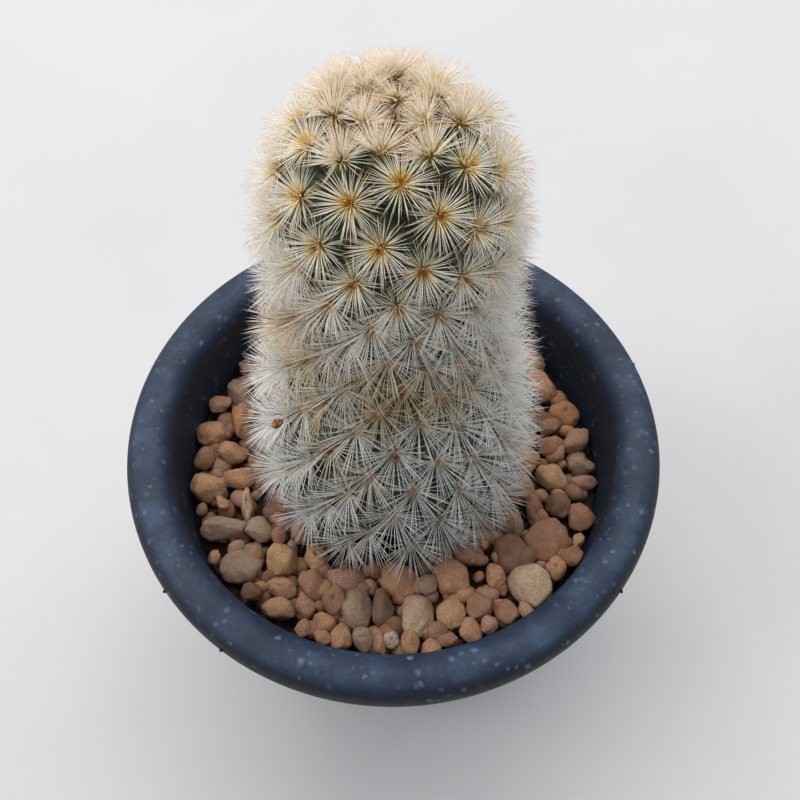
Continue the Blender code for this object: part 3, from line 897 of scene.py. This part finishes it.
spine = {
    "sides": 3,
    "rings": (0, 0.34, 0.7),
    "fullness": 0.38,
    "bow": 1.6,
    "rootRing": 0.5 * mm,
    "areoleCounts": (-12, -6, 0, 8, 16, 30, 60, 100, 140, 190),
    "length": (4.2, 4.8, 4.9, 4.9, 4.9, 5.1, 6.0, 6.9, 7.2, 7.2),
    "reach": (2.4, 3.2, 3.8, 4.0, 4.1, 4.2, 5.4, 6.4, 6.6, 6.4),
    "leans": (44, 40, 15, 10, 10, 10, 12, 17, 21, 22),
    "sway": 0.11,
    # one random sway for each count from this one on, so that every band finds the same ones
    "firstSway": -20,
    "sways": 400,
    # the count where age starts, and how many it takes to reach 1
    "ageFrom": -12,
    "ageSpan": 200,
    # areoles further than this below the pebbles' level carry no spines
    "buried": 2.4 * mm,
    "downward": 1.12,
    "upward": 0.88,
    "flattest": math.radians(2),
    "steepest": math.radians(84),
    # how chance changes length and width, and how the root ring narrows as a spine rises
    "lengthShares": (0.8, 1.0),
    "widthShares": (0.8, 1.2),
    "ringShares": (0.6, 1.0),
    # limits to how far a spine stands off the stem, climbs, and is lifted off the pebbles
    "leastStand": 0.1,
    "leastClimb": 0.05,
    "mostLifted": 0.9,
    "layBackFrom": 55.8 * mm,
    "highestTip": cadBox[1][2] - 0.2 * mm,
    "glow": 0.5,
    "glowDepth": 0.3 * mm,
    "seed": 7,
}
bands = {
    # first and last areole count, spines on each, share of the full length, radius, lowest and highest
    # rise in degrees, how few stand high, and how far they stray in degrees
    "crownSpines": (-13, -1, 210, 1.0, 0.066 * mm, 10, 76, 0.8, 22),
    "upperSpines": (0, 50, 125, 1.0, 0.064 * mm, 4, 70, 1.3, 6),
    "middleSpines": (51, 112, 78, 1.0, 0.054 * mm, 10, 62, 1.2, 20),
    "lowerSpines": (113, 200, 70, 1.0, 0.072 * mm, 16, 60, 1.2, 12),
    "crownDown": (-13, 14, 46, 0.4, 0.06 * mm, 40, 86, 1.0, 8),
    "goldenDown": (-13, 40, 34, 0.27, 0.055 * mm, 22, 66, 1.0, 8),
}
# How brown the spines of some areoles are
tannedAreoles = {
    52: 0.5, 65: 0.8, 68: 0.5, 73: 0.5, 76: 0.6, 78: 0.9, 81: 0.9, 84: 0.6, 86: 0.8, 89: 1.0,
    91: 0.7, 92: 0.5, 97: 0.8, 99: 0.4, 102: 0.8, 104: 0.5, 107: 0.9, 128: 0.5, 136: 0.4,
}


def spineShape():
    # One bristle of length 1 and radius 1 along Z, bowed along X, thinning to its tip
    sides = spine["sides"]
    points, along = [], []
    for share in spine["rings"]:
        radius = (1 - share) ** spine["fullness"]
        for side in range(sides):
            angle = math.tau * side / sides
            stand = 4 * spine["bow"] * share * (1 - share)
            points.append((radius * math.cos(angle) + stand, radius * math.sin(angle), share))
            along.append(share)
    points.append((0, 0, 1))
    along.append(1)
    faces = [(a, d, c, b) for a, b, c, d in ringFaces(len(spine["rings"]), sides)]
    last = len(points) - 1 - sides
    for side in range(sides):
        faces.append((last + side, last + (side + 1) % sides, last + sides))
    faces.append(tuple(reversed(range(sides))))
    mesh = meshFrom("spineShape", points, faces)
    storeFloat(mesh, "along", along)
    return mesh


def areoleMesh(name, first, last):
    # The areoles of one band as bare points, with what the spines need to know
    counts, down, angle = areoles()
    points = stemPoint(down, angle)
    keep = (counts >= first) & (counts <= last) & (points[:, 2] > pebble["level"] - spine["buried"])
    counts, down, angle, points = counts[keep], down[keep], angle[keep], points[keep]
    normals, sideways = stemNormal(down, angle)
    upslope = np.cross(normals, sideways)
    mesh = meshFrom(name, points, [])
    storeVector(mesh, "surface", normals)
    # the younger it is, the more an areole faces the middle of the crown
    lean = np.radians(np.interp(counts, spine["areoleCounts"], spine["leans"]))[:, None]
    sways = np.random.default_rng(spine["seed"]).normal(size=(spine["sways"], 3))
    sway = sways[counts - spine["firstSway"]] * spine["sway"]
    normals = normals * np.cos(lean) + upslope * np.sin(lean) + sway
    normals /= np.linalg.norm(normals, axis=1, keepdims=True)
    upslope = np.cross(normals, sideways)
    upslope /= np.linalg.norm(upslope, axis=1, keepdims=True)
    sideways = np.cross(upslope, normals)
    storeVector(mesh, "outward", normals)
    storeVector(mesh, "upslope", upslope)
    storeVector(mesh, "sideways", sideways)
    storeFloat(mesh, "age", np.clip((counts - spine["ageFrom"]) / spine["ageSpan"], 0, 1))
    for label in ("length", "reach"):
        storeFloat(mesh, label, np.interp(counts, spine["areoleCounts"], spine[label]) * mm)
    storeFloat(mesh, "tan", [tannedAreoles.get(int(count), 0) for count in counts])
    return mesh


def bandSettings(name, shape, material):
    first, _, each, share, radius, lowest, highest, few, wander = bands[name]
    return {
        "Spine": shape,
        "Spines each": each,
        "Length share": share,
        "Radius": radius,
        "Lowest rise": math.radians(lowest),
        "Highest rise": math.radians(highest),
        "Few stand high": few,
        "Wander": math.radians(wander),
        "Root ring": spine["rootRing"],
        "Lay back from": spine["layBackFrom"],
        "Highest tip": spine["highestTip"],
        "Seed": spine["seed"] + first,
        "Material": material,
    }


def spineTree(settings):
    tree, given = newTree("radiateSpines", settings)
    feeds = {"Geometry": pointsOf(given["Geometry"]), "Amount": given["Spines each"]}
    many = feed("GeometryNodeDuplicateElements", feeds, domain="POINT")
    number = many.outputs["Duplicate Index"]

    def chance(low, high, offset):
        # A random number for each spine: sockets 2, 3 and 8 are the least, the most and the seed
        seed = maths("ADD", given["Seed"], float(offset))
        whole = feed("FunctionNodeFloatToInt", {0: seed}).outputs[0]
        feeds = {2: low, 3: high, 8: whole}
        return feed("FunctionNodeRandomValue", feeds, data_type="FLOAT").outputs[1]

    wander = given["Wander"]
    back = maths("MULTIPLY", wander, -1.0)
    steady = maths("MULTIPLY", number, growth["goldenAngle"])
    around = maths("ADD", steady, chance(back, wander, 1))
    share = maths("DIVIDE", number, given["Spines each"])
    steep = maths("POWER", share, given["Few stand high"])
    spread = maths("SUBTRACT", given["Highest rise"], given["Lowest rise"])
    rise = maths("ADD", given["Lowest rise"], maths("MULTIPLY", steep, spread))
    rise = maths("ADD", rise, chance(back, wander, 2))
    rise = maths("MINIMUM", maths("MAXIMUM", rise, spine["flattest"]), spine["steepest"])
    flat = maths("COSINE", rise)
    outward = namedVector(tree, "outward")
    upPart = maths("COSINE", around)
    sidePart = maths("SINE", around)
    across = vectorMaths("ADD", scaled(namedVector(tree, "upslope"), upPart),
                         scaled(namedVector(tree, "sideways"), sidePart))
    way = vectorMaths("ADD", scaled(across, flat), scaled(outward, maths("SINE", rise)))
    longer = ranged(upPart, -1.0, 1.0, spine["downward"], spine["upward"])
    # the steeper a spine stands, the shorter it is, so that the tips make one even coat
    standing = vectorMaths("DOT_PRODUCT", way, namedVector(tree, "surface"))
    coat = maths("DIVIDE", named(tree, "reach"), maths("MAXIMUM", standing, spine["leastStand"]))
    whole = maths("MINIMUM", maths("MULTIPLY", named(tree, "length"), longer), coat)
    length = maths("MULTIPLY", whole, given["Length share"])
    length = maths("MULTIPLY", length, chance(*spine["lengthShares"], 3))
    # a spine that would reach into the pebbles lies back on them instead
    parts = split(way)
    startHeight = split(add(tree, "GeometryNodeInputPosition").outputs[0])["Z"]
    short = maths("SUBTRACT", given["Lay back from"], startHeight)
    least = maths("MINIMUM", maths("DIVIDE", short, length), spine["mostLifted"])
    lifted = joined(parts["X"], parts["Y"], maths("MAXIMUM", parts["Z"], least))
    way = vectorMaths("NORMALIZE", lifted)
    climb = maths("MAXIMUM", split(way)["Z"], spine["leastClimb"])
    room = maths("SUBTRACT", given["Highest tip"], startHeight)
    length = maths("MINIMUM", length, maths("DIVIDE", room, climb))
    ring = maths("MULTIPLY", given["Root ring"], ranged(flat, 0.0, 1.0, *spine["ringShares"]))
    width = maths("MULTIPLY", given["Radius"], chance(*spine["widthShares"], 4))
    feeds = {"Geometry": many.outputs["Geometry"], "Offset": scaled(across, ring)}
    moved = feed("GeometryNodeSetPosition", feeds).outputs[0]
    scale = joined(width, width, length)
    placed = setOut(moved, given["Spine"], turned(way, outward), scale)
    toned = stored(placed, "tone", chance(0.0, 1.0, 5), "INSTANCE")
    endTree(toned, given["Material"])
    return tree


def makeSpines(horn, down):
    shape = link("spineShape", spineShape())
    tree = spineTree(bandSettings("upperSpines", shape, horn))
    for name, (first, last, *_) in bands.items():
        settings = bandSettings(name, shape, down if name.endswith("Down") else horn)
        finish(grow(name, areoleMesh(name, first, last), tree, settings), "cactus", "cactus")
    remove(shape)


def glow(shader, colours):
    # Light goes a little way into the horn, each colour by its own share of the depth
    shader.inputs["Subsurface Weight"].default_value = spine["glow"]
    shader.inputs["Subsurface Scale"].default_value = spine["glowDepth"]
    shader.inputs["Subsurface Radius"].default_value = colours


def spineHorn():
    material, tree, shader = newMaterial("spineHorn", 0.45, 0.4)
    along, age, tone = attribute(tree, "along"), attribute(tree, "age"), attribute(tree, "tone")
    young = ramp(along, [
        (0.0, 244, 176, 80), (0.1, 255, 218, 122), (0.3, 255, 236, 180), (0.5, 255, 252, 242),
        (0.68, 255, 242, 218), (0.84, 232, 174, 116), (1, 170, 96, 50)])
    grown = ramp(along, [
        (0.0, 234, 212, 178), (0.08, 244, 236, 218), (0.2, 247, 245, 238), (0.5, 247, 246, 241),
        (0.8, 246, 241, 233), (1, 238, 218, 196)])
    colour = blend(ranged(age, 0.1, 0.38), young, grown)
    dull = blend(ranged(tone, 0.7, 1.0, 0.0, 0.3), colour, rgb(228, 212, 186), "MULTIPLY")
    paint(shader, blend(attribute(tree, "tan"), dull, rgb(228, 192, 148), "MULTIPLY"))
    glow(shader, (1.0, 0.8, 0.6))
    return material


def downHorn():
    material, tree, shader = newMaterial("goldenDown", 0.6, 0.3)
    along, age = attribute(tree, "along"), attribute(tree, "age")
    young = ramp(along, [(0.0, 226, 146, 56), (0.3, 250, 198, 96), (1, 254, 224, 140)])
    grown = ramp(along, [(0.0, 204, 132, 62), (0.3, 238, 196, 126), (1, 250, 230, 184)])
    paint(shader, blend(ranged(age, 0.14, 0.36), young, grown))
    glow(shader, (1.0, 0.7, 0.4))
    return material


pad = {
    "counts": (-13, 200),
    "radius": 0.5 * mm,
    "height": 0.36 * mm,
    "swelling": 0.16,
    "closeness": 3.1,
}


def padShape():
    # A small felted cushion, half sunk
    bm = bmesh.new()
    bmesh.ops.create_icosphere(bm, subdivisions=2, radius=1)
    for vert in bm.verts:
        vert.co *= 1 + pad["swelling"] * noise.noise(vert.co * pad["closeness"])
    mesh = meshOf("padShape", bm)
    storeFloat(mesh, "edge", [math.hypot(vert.co.x, vert.co.y) for vert in mesh.vertices])
    return mesh


def makePads(material):
    shape = link("padShape", padShape())
    settings = {"Pad": shape, "Radius": pad["radius"], "Height": pad["height"], "Material": material}
    tree, given = newTree("seatPads", settings)
    turn = turned(namedVector(tree, "outward"), namedVector(tree, "sideways"))
    scale = joined(given["Radius"], given["Radius"], given["Height"])
    placed = setOut(pointsOf(given["Geometry"]), given["Pad"], turn, scale)
    endTree(placed, given["Material"])
    piece = grow("areolePads", areoleMesh("areolePads", *pad["counts"]), tree, settings)
    remove(shape)
    finish(piece, "cactus", "cactus")


def areoleFelt():
    material, tree, shader = newMaterial("areoleFelt", 0.95, 0.1)
    age = attribute(tree, "age")
    core = ramp(age, [
        (0, 206, 140, 62), (0.05, 150, 74, 16), (0.25, 140, 66, 16), (0.45, 158, 104, 60), (1, 150, 112, 80)])
    rim = ramp(age, [
        (0, 238, 188, 96), (0.25, 214, 140, 48), (0.45, 206, 166, 118), (1, 196, 170, 136)])
    own = blend(ranged(attribute(tree, "edge"), 0.35, 0.95), core, rim)
    felt = cloud(tree, 5200, 2, 0.7)
    paint(shader, blend(ranged(felt, 0.4, 0.7, 0, 0.4), own, rgb(214, 146, 66)))
    bump(shader, felt, 0.1 * mm, 0.8)
    return material


# Small lumps: dried flower remains among the spines, and burrs on the lip's edge

lump = {
    # areoles that carry a dried remain, each with how far it stands off the stem and its scale
    "driedPlaces": {120: (4.7 * mm, 1.4), 123: (1.1 * mm, 1.0), 128: (1.2 * mm, 1.0)},
    "driedSize": (0.9 * mm, 0.8 * mm, 1.3 * mm),
    # where the burrs are, in degrees from the right-hand side, and their size
    "burrAngles": (19, 217.6, 234.7, 322.4),
    "burrRadius": potHigh.x - 0.1 * mm,
    "burrHeight": rimTop - 3.2 * mm,
    "burrSize": (0.5 * mm, 0.9 * mm, 0.9 * mm),
    "wrinkle": 0.5,
    "closeness": 6,
}


def makeLumps(name, slotName, spots, size, material):
    # spots: place, facing and scale of each
    bm = bmesh.new()
    for number, (place, facing, scale) in enumerate(spots):
        turn = Vector(facing).to_track_quat("Z", "Y")
        ball = bmesh.ops.create_icosphere(bm, subdivisions=3, radius=0.5 * scale)
        for vert in ball["verts"]:
            high = noise.noise(vert.co * lump["closeness"] + Vector((number * 9, 0, 0)))
            wrinkled = vert.co * (1 + lump["wrinkle"] * high)
            vert.co = turn @ Vector([a * b for a, b in zip(wrinkled, size)]) + Vector(place)
    mesh = meshOf(name, bm)
    mesh.materials.append(material)
    finish(link(name, mesh), slotName)


def makeDriedRemains(material):
    counts, down, angle = areoles()
    chosen = np.isin(counts, list(lump["driedPlaces"]))
    places = stemPoint(down[chosen], angle[chosen])
    normals, _ = stemNormal(down[chosen], angle[chosen])
    spots = []
    for count, place, normal in zip(counts[chosen], places, normals):
        stand, scale = lump["driedPlaces"][int(count)]
        spots.append((place + normal * stand, normal, scale))
    makeLumps("driedRemains", "cactus", spots, lump["driedSize"], material)


def makeBurrs(material):
    spots = []
    for degrees in lump["burrAngles"]:
        out = spoke(math.radians(degrees))
        spots.append((out * lump["burrRadius"] + Vector((0, 0, lump["burrHeight"])), out, 1.0))
    makeLumps("rimBurrs", "pot_plastic", spots, lump["burrSize"], material)


def driedPetal():
    material, tree, shader = newMaterial("driedPetal", 0.8, 0.2)
    patchy = cloud(tree, 1800, 3, 0.6)
    paint(shader, ramp(patchy, [(0.3, 92, 56, 38), (0.5, 146, 92, 66), (0.72, 204, 158, 128)]))
    bump(shader, patchy, 0.2 * mm, 0.8)
    return material


# Studio

studio = {
    "cameraX": 1.1 * mm,
    "cameraBack": 81.6 * mm,
    "cameraAboveRim": 146.6 * mm,
    "lookDown": 59.3,
    "lens": 45.0,
    "sensor": 36,
    "nearest": 5 * mm,
    "floorSize": 3.0,
    "lampsAim": (0, 0, 0.06),
    # how bright the sky is in front of the pot and behind it
    "skyStrength": (0.44, 0.86),
    # place, size and energy of each lamp
    "lamps": {
        "leftWindow": ((-1.15, 0.95, 1.35), 0.9, 5),
        "rightWindow": ((1.05, 1.05, 1.3), 0.9, 5),
        "topLight": ((-0.1, 0.95, 1.9), 1.8, 28),
        "sideLight": ((-1.4, -0.25, 1.3), 1.0, 13),
    },
}


def softLamp(name, place, size, energy):
    light = bpy.data.lights.new(name, "AREA")
    light.size = size
    light.energy = energy
    light.color = rgb(255, 250, 244)[:3]
    lamp = link(name, light)
    lamp.location = place
    aim = Vector(studio["lampsAim"]) - lamp.location
    lamp.rotation_euler = aim.to_track_quat("-Z", "Y").to_euler()


def makeStudio():
    scene = bpy.context.scene
    camera = link("camera", bpy.data.cameras.new("camera"))
    camera.data.lens = studio["lens"]
    camera.data.sensor_width = studio["sensor"]
    camera.data.clip_start = studio["nearest"]
    camera.location = (studio["cameraX"], -studio["cameraBack"], rimTop + studio["cameraAboveRim"])
    camera.rotation_euler = Euler((math.radians(90 - studio["lookDown"]), 0, 0))
    scene.camera = camera
    scene.view_settings.view_transform = "Standard"
    world = bpy.data.worlds.new("softSky")
    scene.world = world
    world.use_nodes = True
    sky = world.node_tree
    back = sky.nodes["Background"]
    back.inputs["Color"].default_value = rgb(236, 240, 244)
    facing = split(add(sky, "ShaderNodeTexCoord").outputs["Generated"])["Y"]
    sky.links.new(ranged(facing, -1.0, 1.0, *studio["skyStrength"]), back.inputs["Strength"])
    for name, (place, size, energy) in studio["lamps"].items():
        softLamp(name, place, size, energy)
    size = studio["floorSize"] / 2
    corners = [(-size, -size, 0), (size, -size, 0), (size, size, 0), (-size, size, 0)]
    floor = link("floor", meshFrom("floor", corners, [(0, 1, 2, 3)]))
    material, tree, shader = newMaterial("paperFloor", 0.8, 0.2)
    cloudy = cloud(tree, 14, 3, 0.5)
    paint(shader, ramp(cloudy, [(0.3, 197, 198, 201), (0.7, 203, 204, 207)]))
    floor.data.materials.append(material)


makeStudio()
plastic = potPlastic()
makePot(plastic)
makeBurrs(plastic)
mixNode = frame["nodes"]["potting_mix"]
mixNode.data.materials.clear()
mixNode.data.materials.append(earth())
makePebbles(pumice())
makeBed(earth())
makeStem(stemSkin())
makePads(areoleFelt())
makeSpines(spineHorn(), downHorn())
makeDriedRemains(driedPetal())
